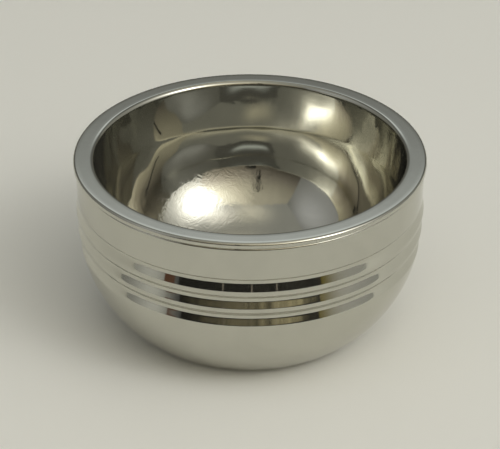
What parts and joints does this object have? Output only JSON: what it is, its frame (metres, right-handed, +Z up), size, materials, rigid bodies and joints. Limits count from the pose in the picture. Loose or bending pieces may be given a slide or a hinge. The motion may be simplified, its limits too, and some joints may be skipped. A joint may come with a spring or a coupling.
{
  "type": "shaving bowl",
  "caption": "Round double-walled shaving bowl in polished stainless steel, with a flat rolled rim, grooved outer band and smooth empty inside.",
  "frame": {"origin": "middle of the underside, on the surface the bowl stands on", "axes": "+Z up, along the bowl's axis of revolution"},
  "size_m": [0.1, 0.1, 0.052],
  "materials": {
    "bowl_steel": "mirror-polished stainless steel",
    "shell_steel": "polished stainless steel",
    "seal_rubber": "black rubber, hidden in the rim joint"
  },
  "bodies": {
    "root": {"inner_bowl": "bowl_steel", "outer_shell": "shell_steel", "rim_seal": "seal_rubber"}
  },
  "joints": []
}
